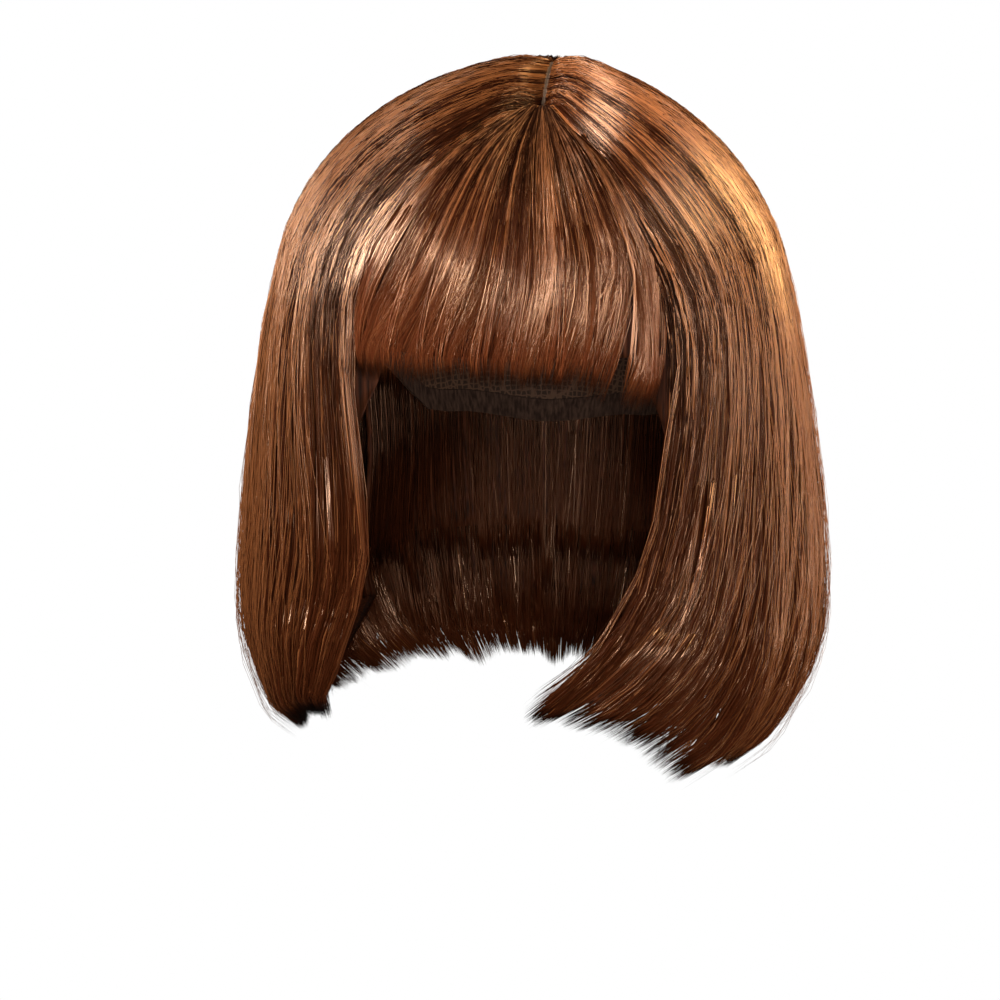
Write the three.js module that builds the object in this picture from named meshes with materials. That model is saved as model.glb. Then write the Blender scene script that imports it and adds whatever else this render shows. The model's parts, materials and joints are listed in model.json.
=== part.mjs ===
// A bob wig with a fringe, in the shape that it has when it is worn.
// Millimetres, +Z up. The face looks along -Y, +X is the wearer's left, and the origin is the inside top of the cap.
// An azimuth is the angle round the head from the front (0) over the wearer's left (90) to the back (180).
// Every piece of hair is a grid of points: its rows run down from the parting to the tips and its columns run round
// the head. Where a column leads depends only on the distance from its root, so that neighbouring pieces share a seam.
import * as THREE from "three";

// Cap: a net dome that fits a head of about 560 mm round
const CAP_HALF_WIDTH = 75;
const CAP_FRONT = 92;
const CAP_BACK = 96;
const CAP_DOME_HEIGHT = 95;
const CAP_LOWER_HEIGHT = 130; // of the half ellipsoid below the widest level
const CAP_NAPE_DROP = 150; // from the inside top down to the nape edge
const CAP_WALL = 1.5;
const CAP_ROWS = 8; // above the band
const CAP_COLUMNS = 48;
const BAND_HEIGHT = 9;
const BAND_THICKNESS = 1.2;
const TOUCH_GAP = 0.3; // between pieces that touch
const HAIR_ON_CAP = 2; // from the cap to the corners of the hair's flat faces, whose middles come closer

// Hair: how far its outside reaches
const CROWN_RISE = 20; // above the inside top of the cap
const LEFT_DROP = 262; // from the inside top of the cap down to the tips on the wearer's left
const RIGHT_DROP = 258;
const BACK_DROP = 252;
const HAIR_HALF_WIDTH = 121;
const HAIR_FRONT = 108;
const HAIR_BACK = 120;
const CURTAIN_WALL = 16; // of the hair that hangs free below the cap
const RIGHT_FULLNESS = 0.8; // power of the spread on the wearer's right, where the crown is fuller
const RIGHT_FLARE = 6; // how much further out the wearer's right hem lies
const FLARE_FROM = 0.92; // the share of the way down where that flare starts
const RIGHT_EASES_FROM = 90; // the azimuth where both of them start to ease into the back hair
const SECTION_GAP = 0.9; // between neighbouring sections of hair

// Parting: off centre towards the wearer's left
const PARTING_OFFSET = 7.5;
const PARTING_FRONT = 46;
const PARTING_BACK = 32;
const PARTING_FRONT_SAG = 12; // how far the parting comes down with the head at its front end
const PARTING_BACK_SAG = 6;
const GROOVE_DEPTH = 4;
const GROOVE_HALF_WIDTH = 2.3;
const GROOVE_BEVEL = 0.4;
const GROOVE_EDGE_DROP = 1.3; // from the hair's top down to the bevel's upper end
const STRIP_HALF_WIDTH = 1.8;
const STRIP_THICKNESS = 1.2;
const STRIP_STEPS = 24;

// Fringe
const FRINGE_HALF_ANGLE = 37.5; // its azimuth on each side
const FRINGE_DROP = 91; // from the inside top of the cap down to its tips
const FRINGE_INSET = 4; // how far it lies inside the hair beside it
const FRINGE_TIP_WALL = 4;
const FRINGE_NOTCH = 4; // how far the hem rises between two tips
const SEAM_SWEEP = 0.48; // the share by which the fringe's fan is narrower at the parting than at its edge

// Sides, back and nape
const BACK_FROM = 127.5; // the azimuth where the side hair ends and the back hair begins
const WALL_EASES_FROM = 80; // the azimuth where the wall starts to change from the side's to the back's
const EDGE_WALL = 0.3; // the wall at each side's front edge, as a share of the wall behind it
const EDGE_WIDTH = 0.3; // the share of each side over which the wall grows to its full thickness
const HAIR_NOTCH = 9; // how far the side and back hems rise between two tips
const NAPE_FROM = 118;
const NAPE_TOP_DROP = 112; // from the inside top of the cap down to the root of the nape hair
const NAPE_TIP_DROP = 222;
const NAPE_WALL = 7; // at its root
const NAPE_TIP_WALL = 3.5;
const NAPE_SPREAD = 7; // how far its tips stand out from under the cap
const NAPE_RELIEF = 1;
const NAPE_CLEARANCE = 2; // between the nape hair and the hair outside it
const NAPE_NOTCH = 8;
const NAPE_ROWS = 7;

// Locks: ribs on the outside of the hair, each with its own tip
const LOCK_COLUMNS = 4;
const LOCK_RELIEF = 3.2;
const LOCK_SHAPE = [0, 0.8, 1, 0.65]; // the height of one rib, column by column
const HEM_FROM = 0.6; // the share of the way down where a lock starts to follow its own tip

// The cap's edge: how far down it lies at each azimuth, as a share of CAP_NAPE_DROP
const CAP_EDGE = [
  { azimuth: 0, drop: 0.39 },
  { azimuth: 30, drop: 0.41 },
  { azimuth: 52, drop: 0.56 },
  { azimuth: 68, drop: 0.76 },
  { azimuth: 80, drop: 0.77 },
  { azimuth: 96, drop: 0.7 },
  { azimuth: 112, drop: 0.75 },
  { azimuth: 140, drop: 0.95 },
  { azimuth: 180, drop: 1 },
];

// Rows of the side and back hair. fall is the share of the way down from crown to tips, and spread the share of the
// way out from the parting. wide, front and back are shares of the hair's reach. cap is the share of the way from the
// root to the cap's widest level where the inside lies on the cap. Below the cap, sideWall and backWall are shares of
// CURTAIN_WALL. rib is the share of the lock relief.
const HAIR_ROWS = [
  { fall: 0.005, spread: 0.1, wide: 1, front: 1, back: 1, cap: 0.13, rib: 0.1 },
  { fall: 0.028, spread: 0.28, wide: 0.92, front: 1, back: 1, cap: 0.3, rib: 0.2 },
  { fall: 0.078, spread: 0.53, wide: 0.88, front: 1, back: 1, cap: 0.5, rib: 0.3 },
  { fall: 0.155, spread: 0.76, wide: 0.88, front: 0.99, back: 1, cap: 0.7, rib: 0.35 },
  { fall: 0.24, spread: 0.93, wide: 0.86, front: 0.99, back: 1, cap: 0.86, rib: 0.45 },
  { fall: 0.31, spread: 0.98, wide: 0.87, front: 1, back: 1, cap: 0.95, rib: 0.5 },
  { fall: 0.37, spread: 1, wide: 0.885, front: 0.985, back: 0.99, cap: 1, rib: 0.55 },
  { fall: 0.5, spread: 1, wide: 0.935, front: 0.93, back: 0.98, sideWall: 1.15, backWall: 0.8, rib: 0.65 },
  { fall: 0.63, spread: 1, wide: 0.97, front: 0.87, back: 0.935, sideWall: 1.05, backWall: 0.8, rib: 0.75 },
  { fall: 0.745, spread: 1, wide: 0.99, front: 0.84, back: 0.88, sideWall: 1, backWall: 0.8, rib: 0.85 },
  { fall: 0.84, spread: 1, wide: 0.98, front: 0.83, back: 0.825, sideWall: 0.95, backWall: 0.75, rib: 1 },
  { fall: 0.91, spread: 1, wide: 0.93, front: 0.81, back: 0.77, sideWall: 0.8, backWall: 0.65, rib: 1 },
  { fall: 0.96, spread: 1, wide: 0.86, front: 0.77, back: 0.705, sideWall: 0.55, backWall: 0.5, rib: 0.9 },
  { fall: 1, spread: 1, wide: 0.75, front: 0.7, back: 0.62, sideWall: 0.3, backWall: 0.3, rib: 0.6 },
];

// How far each side's front edge has turned back from the fringe's edge, in degrees of azimuth, on the way down
const FRONT_EDGE = [
  { fall: 0, left: 0, right: 0 },
  { fall: 0.3, left: 0.8, right: 1 },
  { fall: 0.63, left: 0.8, right: 1 },
  { fall: 0.745, left: 0, right: 2.5 },
  { fall: 0.84, left: -2.5, right: 6.5 },
  { fall: 0.91, left: -5.5, right: 11.5 },
  { fall: 0.96, left: -9, right: 17.5 },
  { fall: 1, left: -14, right: 24.5 },
];

// Rows of the fringe. fall is the share of the way down from the crown to the fringe's tips, wall a share of
// FRINGE_TIP_WALL below the cap, inset a share of FRINGE_INSET, and the other columns are as above.
const FRINGE_ROWS = [
  { fall: 0.01, spread: 0.1, wide: 1, front: 1, cap: 0.13, inset: 0.1, rib: 0.1 },
  { fall: 0.05, spread: 0.28, wide: 1, front: 1, cap: 0.3, inset: 0.3, rib: 0.25 },
  { fall: 0.15, spread: 0.53, wide: 1, front: 1, cap: 0.5, inset: 0.6, rib: 0.35 },
  { fall: 0.34, spread: 0.76, wide: 0.94, front: 1, cap: 0.7, inset: 0.9, rib: 0.5 },
  { fall: 0.54, spread: 0.91, wide: 0.91, front: 1, cap: 0.84, inset: 1, rib: 0.6 },
  { fall: 0.75, spread: 0.98, wide: 0.9, front: 1, cap: 0.94, inset: 1, rib: 0.7 },
  { fall: 0.89, spread: 1, wide: 0.9, front: 0.99, wall: 2, inset: 1, rib: 0.8 },
  { fall: 1, spread: 1, wide: 0.9, front: 0.965, wall: 1, inset: 1, rib: 0.8 },
];

// How much lower each lock's tip hangs than its section's drop, as a share of that drop, in order of azimuth
const LOCK_TIPS = {
  fringe: [0.01, -0.03, 0, 0, 0.1],
  left: [-0.1, 0, 0.005, -0.015, -0.02, -0.04],
  right: [-0.02, -0.01, 0, 0.015, -0.02, -0.06],
  back: [-0.005, 0.01, 0, 0.012, -0.008, 0.01, -0.005],
  nape: [0, 0.01, -0.01, 0.008, 0, 0.01, -0.01],
};

const COLOURS = { hair: 0x5a2f1a, underHair: 0x3a1d10, net: 0x2a1a12, elastic: 0x1d1512, skin: 0xc9a27e };

const { degToRad, lerp, smoothstep } = THREE.MathUtils;

// Half axes of the hair's outline, seen from above
const HAIR_REACH = { wide: HAIR_HALF_WIDTH, front: HAIR_FRONT, back: HAIR_BACK };

// Half axes of the cap's outside at its widest level, with the room under the hair
const ON_CAP = CAP_WALL + HAIR_ON_CAP;
const ON_CAP_REACH = { wide: CAP_HALF_WIDTH + ON_CAP, front: CAP_FRONT + ON_CAP, back: CAP_BACK + ON_CAP };

// Two rows of a table that lie on each side of a value, and the share of the way between them
function rowsAround(table, column, value) {
  const found = table.findIndex((row) => row[column] >= value);
  const next = found < 0 ? table.length - 1 : Math.max(1, found);
  const low = table[next - 1];
  const high = table[next];
  return { low, high, share: (value - low[column]) / (high[column] - low[column]) };
}

// Point in plan of an ellipse that reaches differently far to the front and to the back
function ellipsePoint(azimuth, reach) {
  const a = degToRad(azimuth);
  const depth = Math.cos(a) > 0 ? reach.front : reach.back;
  return new THREE.Vector2(reach.wide * Math.sin(a), -depth * Math.cos(a));
}

// How far the ellipse lies from a place inside it along a direction
function distanceToEllipse(place, direction, reach) {
  const hit = (depth) => {
    const p = new THREE.Vector2(place.x / reach.wide, place.y / depth);
    const d = new THREE.Vector2(direction.x / reach.wide, direction.y / depth);
    const along = p.dot(d) / d.lengthSq();
    return Math.sqrt(along * along + (1 - p.lengthSq()) / d.lengthSq()) - along;
  };
  const toFront = hit(reach.front);
  return place.y + toFront * direction.y < 0 ? toFront : hit(reach.back);
}

// How far the cap's edge lies below its inside top at an azimuth
function capEdgeDrop(azimuth) {
  const { low, high, share } = rowsAround(CAP_EDGE, "azimuth", Math.min(azimuth, 360 - azimuth));
  return CAP_NAPE_DROP * lerp(low.drop, high.drop, smoothstep(share, 0, 1));
}

// Angle from the cap's top at which its surface has come down by a drop
function capAngle(drop) {
  if (drop <= CAP_DOME_HEIGHT) return Math.acos(1 - drop / CAP_DOME_HEIGHT);
  return Math.PI / 2 + Math.asin((drop - CAP_DOME_HEIGHT) / CAP_LOWER_HEIGHT);
}

// Point of the cap's inner surface moved outwards by an offset
function capPoint(azimuth, angle, offset) {
  const reach = { wide: CAP_HALF_WIDTH + offset, front: CAP_FRONT + offset, back: CAP_BACK + offset };
  const plan = ellipsePoint(azimuth, reach).multiplyScalar(Math.sin(angle));
  const height = angle < Math.PI / 2 ? CAP_DOME_HEIGHT + offset : CAP_LOWER_HEIGHT;
  return new THREE.Vector3(plan.x, plan.y, height * Math.cos(angle) - CAP_DOME_HEIGHT);
}

// Height at a place in plan of the dome on which the hair's inside lies
function onCapHeight(x, y) {
  const across = x / ON_CAP_REACH.wide;
  const along = y / (y < 0 ? ON_CAP_REACH.front : ON_CAP_REACH.back);
  const left = Math.max(0, 1 - along * along - across * across);
  return (CAP_DOME_HEIGHT + ON_CAP) * Math.sqrt(left) - CAP_DOME_HEIGHT;
}

// Adds a grid's triangles, without those that a shared corner leaves empty
function addQuads(triangles, grid, facesOut) {
  const add = (a, b, c) => {
    const isEmpty = a.equals(b) || b.equals(c) || c.equals(a);
    if (!isEmpty) triangles.push(...(facesOut ? [a, b, c] : [a, c, b]));
  };
  for (let r = 0; r + 1 < grid.length; r += 1) {
    for (let c = 0; c + 1 < grid[r].length; c += 1) {
      add(grid[r][c], grid[r + 1][c], grid[r + 1][c + 1]);
      add(grid[r][c], grid[r + 1][c + 1], grid[r][c + 1]);
    }
  }
}

// Closed wall between an outer and an inner grid of the same size, with columns in order of azimuth.
// A ring's last column is its first one again, so a ring has no side walls.
function wallGeometry(outer, inner, isRing) {
  const triangles = [];
  const last = outer.length - 1;
  const end = outer[0].length - 1;
  addQuads(triangles, outer, true);
  addQuads(triangles, inner, false);
  addQuads(triangles, [inner[0], outer[0]], true);
  addQuads(triangles, [outer[last], inner[last]], true);
  if (!isRing) {
    addQuads(triangles, [outer.map((row) => row[0]), inner.map((row) => row[0])], true);
    addQuads(triangles, [outer.map((row) => row[end]), inner.map((row) => row[end])], false);
  }
  return new THREE.BufferGeometry().setFromPoints(triangles);
}

// Named mesh with its own material
function piece(name, geometry, color, roughness) {
  geometry.computeVertexNormals();
  const mesh = new THREE.Mesh(geometry, new THREE.MeshStandardMaterial({ color, roughness, metalness: 0 }));
  mesh.name = name;
  return mesh;
}

// Grid round the head, with one row for each share and its last column its first one again
function ringGrid(shares, pointAt) {
  return shares.map((share) =>
    Array.from({ length: CAP_COLUMNS + 1 }, (_, c) => pointAt(share, (360 * (c % CAP_COLUMNS)) / CAP_COLUMNS)),
  );
}

// Angle from the cap's top where the band begins
function bandAngle(azimuth) {
  return capAngle(capEdgeDrop(azimuth) - BAND_HEIGHT);
}

function buildCap() {
  const shares = Array.from({ length: CAP_ROWS + 1 }, (_, r) => r / CAP_ROWS);
  const surface = (offset) => [
    ...ringGrid(shares, (share, azimuth) => capPoint(azimuth, share * bandAngle(azimuth), offset)),
    ...ringGrid([1], (_, azimuth) => capPoint(azimuth, capAngle(capEdgeDrop(azimuth)), offset)),
  ];
  return piece("cap", wallGeometry(surface(CAP_WALL), surface(0), true), COLOURS.net, 0.8);
}

function buildEdgeBand() {
  const surface = (offset) =>
    ringGrid([0, 1], (share, azimuth) => {
      const angle = lerp(bandAngle(azimuth), capAngle(capEdgeDrop(azimuth)), share);
      return capPoint(azimuth, angle, offset);
    });
  const geometry = wallGeometry(surface(-TOUCH_GAP), surface(-TOUCH_GAP - BAND_THICKNESS), true);
  return piece("edge_band", geometry, COLOURS.elastic, 0.7);
}

// Height of the hair along the parting
function partingHeight(y) {
  const sag = y < 0 ? PARTING_FRONT_SAG : PARTING_BACK_SAG;
  const length = y < 0 ? PARTING_FRONT : PARTING_BACK;
  return CROWN_RISE - sag * (y / length) ** 2;
}

// Root of a column at a place along the parting, from -1 at its front end to 1 at its back end
function partingPoint(place) {
  const y = place * (place < 0 ? PARTING_FRONT : PARTING_BACK);
  return new THREE.Vector3(PARTING_OFFSET, y, partingHeight(y));
}

// Direction in plan from a root towards the place on the hair's outline at an azimuth
function outwardFrom(root, azimuth) {
  const goal = ellipsePoint(azimuth, HAIR_REACH);
  return new THREE.Vector2(goal.x - root.x, goal.y - root.y).normalize();
}

// Outline of the hair in a row, drawn in by a wall
function rowReach(row, wall) {
  return {
    wide: HAIR_HALF_WIDTH * row.wide - wall,
    front: HAIR_FRONT * row.front - wall,
    back: HAIR_BACK * (row.back ?? 1) - wall,
  };
}

// Distance in plan from the front end of the parting over which the fringe's fan opens
const FAN_LENGTH = distanceToEllipse(
  partingPoint(-1),
  outwardFrom(partingPoint(-1), FRINGE_HALF_ANGLE),
  HAIR_REACH,
);

// Azimuth at which a column of the fringe or a side lies at a distance from its root: the fan opens on the way out.
// follow is 1 on the seam between the two.
function sweptAzimuth(azimuth, hand, follow, distance) {
  const left = 1 - (distance / FAN_LENGTH) ** 2;
  return azimuth - hand * follow * FRINGE_HALF_ANGLE * SEAM_SWEEP * Math.max(0, left);
}

// Pushes a point of a column's profile away from the middle of the head
function raised(point, amount) {
  const middle = new THREE.Vector2(0, Math.min(point.y, -CAP_DOME_HEIGHT));
  return point.clone().addScaledVector(point.clone().sub(middle).normalize(), amount);
}

// Profile of a column's outside at the parting: the groove's floor, its corner and its upper edge.
// A profile's points are the distance from the root and the height.
function grooveProfile(section, share, root) {
  const [from, to] = section.grooveAt(outwardFrom(root, section.azimuthAt(share, 0, 0)));
  const rows = [
    { reach: from, drop: GROOVE_DEPTH },
    { reach: to, drop: GROOVE_DEPTH },
    { reach: to + GROOVE_BEVEL, drop: GROOVE_EDGE_DROP },
  ];
  return rows.map(({ reach, drop }) => {
    const place = placeAt(section, share, root, 0, reach);
    return new THREE.Vector2(reach, partingHeight(place.y) - drop);
  });
}

// Where a column is in plan at a distance from its root
function placeAt(section, share, root, fall, distance) {
  const direction = outwardFrom(root, section.azimuthAt(share, fall, distance));
  return new THREE.Vector2(root.x, root.y).addScaledVector(direction, distance);
}

// One column of a section as points of its outside and its inside, from the parting down to the hem
function hairColumn(section, c) {
  const { rows, tips } = section;
  const share = c / (tips.length * LOCK_COLUMNS);
  const rib = LOCK_SHAPE[c % LOCK_COLUMNS];
  const tip = tips[Math.min(Math.floor(c / LOCK_COLUMNS), tips.length - 1)];
  const rise = section.notch * (1 - rib) - tip * section.drop;
  const root = partingPoint(section.rootAt(share));
  const inSpace = (fall, { x: distance, y: height }) => {
    const place = placeAt(section, share, root, fall, distance);
    return new THREE.Vector3(place.x, place.y, height ?? onCapHeight(place.x, place.y));
  };
  const points = grooveProfile(section, share, root).map((p) => ({
    outer: inSpace(0, p),
    inner: inSpace(0, { x: p.x }),
  }));
  for (const row of rows) {
    const azimuth = section.azimuthAt(share, row.fall, Infinity);
    const direction = outwardFrom(root, azimuth);
    const sag = (1 - row.spread) * (CROWN_RISE - root.z);
    const toTip = rise * smoothstep(row.fall, HEM_FROM, 1);
    const height = CROWN_RISE - row.fall * (CROWN_RISE + section.drop) - sag + toTip;
    const { power, flare } = section.fullness(azimuth, row.fall);
    const distance = row.spread ** power * distanceToEllipse(root, direction, rowReach(row, -flare));
    const relief = LOCK_RELIEF * row.rib * rib - FRINGE_INSET * (row.inset ?? 0);
    const wall = row.cap ? 0 : section.wallAt(row, Math.min(Math.abs(azimuth), 360 - Math.abs(azimuth)), share);
    const inner = row.cap
      ? { x: row.cap * distanceToEllipse(root, direction, ON_CAP_REACH) }
      : { x: distanceToEllipse(root, direction, rowReach(row, wall - flare)), y: height };
    points.push({
      outer: inSpace(row.fall, raised(new THREE.Vector2(distance, height), relief)),
      inner: inSpace(row.fall, inner),
    });
  }
  return points;
}

// Draws in the two end columns of a grid, so that it stays clear of its neighbours
function drawInEnds(grid, gap) {
  const end = grid[0].length - 1;
  for (const row of grid) {
    for (const [edge, next] of [[0, 1], [end, end - 1]]) {
      const inwards = row[next].clone().sub(row[edge]).normalize();
      row[edge] = row[edge].clone().addScaledVector(inwards, gap);
    }
  }
}

// One section of hair, with columns in order of azimuth
function buildHair(section) {
  const count = section.tips.length * LOCK_COLUMNS + 1;
  const columns = Array.from({ length: count }, (_, c) => hairColumn(section, c));
  const grid = (surface) => columns[0].map((_, r) => columns.map((column) => column[r][surface]));
  const outer = grid("outer");
  const inner = grid("inner");
  drawInEnds(outer, SECTION_GAP / 2);
  drawInEnds(inner, SECTION_GAP / 2);
  return piece(section.name, wallGeometry(outer, inner, false), COLOURS.hair, 0.35);
}

// Groove of a section that begins past the end of the parting
const END_GROOVE = [GROOVE_HALF_WIDTH + SECTION_GAP, GROOVE_HALF_WIDTH + SECTION_GAP + GROOVE_BEVEL];

// Wall of the side and back hair below the cap
function curtainWall(row, azimuth) {
  return CURTAIN_WALL * lerp(row.sideWall, row.backWall, smoothstep(azimuth, WALL_EASES_FROM, BACK_FROM));
}

// How much fuller the hair is than its table says, which eases to nothing towards the back
function fullness(azimuth, fall) {
  const towardsBack = smoothstep(Math.abs(azimuth), RIGHT_EASES_FROM, BACK_FROM);
  const right = azimuth < 0 ? 1 - towardsBack : 0;
  return { power: lerp(1, RIGHT_FULLNESS, right), flare: RIGHT_FLARE * right * smoothstep(fall, FLARE_FROM, 1) };
}

// Azimuth of a side's front edge at a share of the way down
function frontEdge(side, fall) {
  const { low, high, share } = rowsAround(FRONT_EDGE, "fall", fall);
  return FRINGE_HALF_ANGLE + lerp(low[side], high[side], share);
}

function buildFringe() {
  return buildHair({
    name: "fringe",
    rows: FRINGE_ROWS,
    tips: LOCK_TIPS.fringe,
    drop: FRINGE_DROP,
    notch: FRINGE_NOTCH,
    grooveAt: () => END_GROOVE,
    azimuthAt: (share, _, distance) => {
      const across = 2 * share - 1;
      return sweptAzimuth(across * FRINGE_HALF_ANGLE, Math.sign(across), Math.abs(across), distance);
    },
    rootAt: () => -1,
    wallAt: (row) => FRINGE_TIP_WALL * row.wall,
    fullness: () => ({ power: 1, flare: 0 }),
  });
}

// hand is 1 for the wearer's left and -1 for the right, where the columns start at the back
function buildSide(hand, side, drop) {
  const fromFront = (share) => (hand > 0 ? share : 1 - share);
  return buildHair({
    name: "side_hair_" + side,
    rows: HAIR_ROWS,
    tips: LOCK_TIPS[side],
    drop,
    notch: HAIR_NOTCH,
    grooveAt: (direction) => [SECTION_GAP / 2, GROOVE_HALF_WIDTH / Math.abs(direction.x)],
    azimuthAt: (share, fall, distance) => {
      const azimuth = hand * lerp(frontEdge(side, fall), BACK_FROM, fromFront(share));
      return sweptAzimuth(azimuth, hand, (1 - fromFront(share)) ** 2, distance);
    },
    rootAt: (share) => lerp(-1, 1, fromFront(share)),
    wallAt: (row, azimuth, share) => {
      const full = smoothstep(fromFront(share), 0, EDGE_WIDTH);
      return curtainWall(row, azimuth) * lerp(EDGE_WALL, 1, full);
    },
    fullness,
  });
}

function buildBack() {
  return buildHair({
    name: "back_hair",
    rows: HAIR_ROWS,
    tips: LOCK_TIPS.back,
    drop: BACK_DROP,
    notch: HAIR_NOTCH,
    grooveAt: () => END_GROOVE,
    azimuthAt: (share) => lerp(BACK_FROM, 360 - BACK_FROM, share),
    rootAt: () => 1,
    wallAt: curtainWall,
    fullness,
  });
}

// Outline of the back hair's inside at a drop below the inside top of the cap
function backInside(drop) {
  const free = HAIR_ROWS.filter((row) => row.backWall);
  const { low, high, share } = rowsAround(free, "fall", (drop + CROWN_RISE) / (BACK_DROP + CROWN_RISE));
  const upper = rowReach(low, CURTAIN_WALL * low.backWall);
  const lower = rowReach(high, CURTAIN_WALL * high.backWall);
  return { wide: lerp(upper.wide, lower.wide, share), back: lerp(upper.back, lower.back, share) };
}

// Point of the nape hair, which leaves the cap's outside and hangs down inside the back hair
function napePoint(fall, azimuth, rib, tip, isOuter) {
  const rise = NAPE_NOTCH * (1 - rib) - tip * NAPE_TIP_DROP;
  const drop = lerp(NAPE_TOP_DROP, NAPE_TIP_DROP - rise, fall);
  const wall = lerp(NAPE_WALL, NAPE_TIP_WALL, fall);
  const onCap = capPoint(azimuth, capAngle(Math.min(drop, CAP_NAPE_DROP)), ON_CAP);
  const toCap = Math.hypot(onCap.x, onCap.y);
  const plan = ellipsePoint(azimuth, backInside(drop + fall * HAIR_NOTCH));
  const outside = Math.min(plan.length() - NAPE_CLEARANCE, toCap + wall + NAPE_SPREAD * fall);
  const inside = drop < CAP_NAPE_DROP ? Math.max(toCap, outside - wall) : outside - wall;
  plan.setLength(isOuter ? outside - NAPE_RELIEF * (1 - rib) : inside);
  return new THREE.Vector3(plan.x, plan.y, -drop);
}

function buildNapeHair() {
  const tips = LOCK_TIPS.nape;
  const last = tips.length * LOCK_COLUMNS;
  const surface = (isOuter) =>
    Array.from({ length: NAPE_ROWS + 1 }, (_, r) =>
      Array.from({ length: last + 1 }, (_, c) => {
        const azimuth = lerp(NAPE_FROM, 360 - NAPE_FROM, c / last);
        const tip = tips[Math.min(Math.floor(c / LOCK_COLUMNS), tips.length - 1)];
        return napePoint(r / NAPE_ROWS, azimuth, LOCK_SHAPE[c % LOCK_COLUMNS], tip, isOuter);
      }),
    );
  return piece("nape_hair", wallGeometry(surface(true), surface(false), false), COLOURS.underHair, 0.4);
}

// Thin strip that lies on the floor of the groove and comes down with the parting
function buildPartingStrip() {
  const corners = [
    { x: -STRIP_HALF_WIDTH, z: STRIP_THICKNESS },
    { x: -STRIP_HALF_WIDTH, z: 0 },
    { x: STRIP_HALF_WIDTH, z: 0 },
    { x: STRIP_HALF_WIDTH, z: STRIP_THICKNESS },
  ];
  const rings = Array.from({ length: STRIP_STEPS + 1 }, (_, i) => {
    const middle = partingPoint(lerp(-1, 1, i / STRIP_STEPS));
    const floor = middle.z - GROOVE_DEPTH + TOUCH_GAP;
    return corners.map(({ x, z }) => new THREE.Vector3(middle.x + x, middle.y, floor + z));
  });
  const triangles = [];
  const endFace = ([a, b, c, d]) => [[a, d], [b, c]];
  addQuads(triangles, rings.map((ring) => [...ring, ring[0]]), true);
  addQuads(triangles, endFace(rings[0]), true);
  addQuads(triangles, endFace(rings[STRIP_STEPS]), false);
  return piece("parting_strip", new THREE.BufferGeometry().setFromPoints(triangles), COLOURS.skin, 0.6);
}

const wig = new THREE.Group();
wig.add(buildCap(), buildEdgeBand(), buildPartingStrip());
wig.add(buildFringe());
wig.add(buildSide(1, "left", LEFT_DROP));
wig.add(buildSide(-1, "right", RIGHT_DROP));
wig.add(buildBack());
wig.add(buildNapeHair());

export default wig;
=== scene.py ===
import json
import math
from collections import namedtuple

import bpy
import numpy as np
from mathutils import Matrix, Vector
from mathutils.bvhtree import BVHTree

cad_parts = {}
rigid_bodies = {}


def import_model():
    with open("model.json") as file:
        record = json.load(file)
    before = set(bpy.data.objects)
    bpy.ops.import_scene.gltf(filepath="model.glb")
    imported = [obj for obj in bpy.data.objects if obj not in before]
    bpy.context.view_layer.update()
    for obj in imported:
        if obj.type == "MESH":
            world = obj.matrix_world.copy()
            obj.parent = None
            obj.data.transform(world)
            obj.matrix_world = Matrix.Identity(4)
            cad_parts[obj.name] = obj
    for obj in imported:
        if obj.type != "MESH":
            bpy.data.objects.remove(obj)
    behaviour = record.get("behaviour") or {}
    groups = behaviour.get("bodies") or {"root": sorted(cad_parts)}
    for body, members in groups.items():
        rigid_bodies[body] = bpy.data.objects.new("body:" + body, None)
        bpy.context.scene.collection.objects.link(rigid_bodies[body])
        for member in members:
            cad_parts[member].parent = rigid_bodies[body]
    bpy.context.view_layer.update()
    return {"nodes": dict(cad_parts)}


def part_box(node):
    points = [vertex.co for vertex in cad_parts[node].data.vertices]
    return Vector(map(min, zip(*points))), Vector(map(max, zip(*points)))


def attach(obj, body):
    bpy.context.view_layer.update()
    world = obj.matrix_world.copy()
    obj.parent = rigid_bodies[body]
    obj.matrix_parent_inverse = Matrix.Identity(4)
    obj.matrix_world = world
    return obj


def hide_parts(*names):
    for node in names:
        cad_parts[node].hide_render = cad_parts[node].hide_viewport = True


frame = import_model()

bl_info = {
    "name": "Bob Wig",
    "version": (1, 0, 0),
    "blender": (4, 5, 0),
    "location": "View3D > Sidebar > Wig",
    "description": "Dresses the frame of a bob wig with strands, net, elastic and a parting",
    "category": "Object",
}

# Metres, +Z up. The face looks along -Y, +X is the wearer's left, and the origin is the cap's inside top.
# An azimuth is the angle round the head from the front (0) over the wearer's left (90) to the back (180).
MM = 0.001

# Outside of the hair, which the strands follow
CROWN_RISE = 20 * MM
HALF_WIDTH = 121 * MM
FRONT_REACH = 108 * MM
BACK_REACH = 120 * MM
CURTAIN_WALL = 16 * MM
RIGHT_FULLNESS = 0.8
RIGHT_FLARE = 6 * MM
FLARE_FROM = 0.92
RIGHT_EASES_FROM = 90
FRINGE_ANGLE = 37.5
FRINGE_INSET = 4 * MM
SEAM_SWEEP = 0.48
SEAM_SINK = 2 * MM
BACK_FROM = 127.5
EDGE_WALL = 0.3
EDGE_WIDTH = 0.3
LOCK_RELIEF = 3.2 * MM
LOCK_SHAPE = (0, 0.8, 1, 0.65, 0)
LOCK_COLUMNS = 4
HEM_FROM = 0.6
HEAD_MIDDLE = 95 * MM  # below the origin

# Parting, from its strip
STRIP_LOW, STRIP_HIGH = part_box("parting_strip")
PARTING_X = (STRIP_LOW.x + STRIP_HIGH.x) / 2
PARTING_FRONT = -STRIP_LOW.y
PARTING_BACK = STRIP_HIGH.y
PARTING_FRONT_SAG = 12 * MM
PARTING_BACK_SAG = 6 * MM

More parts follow.
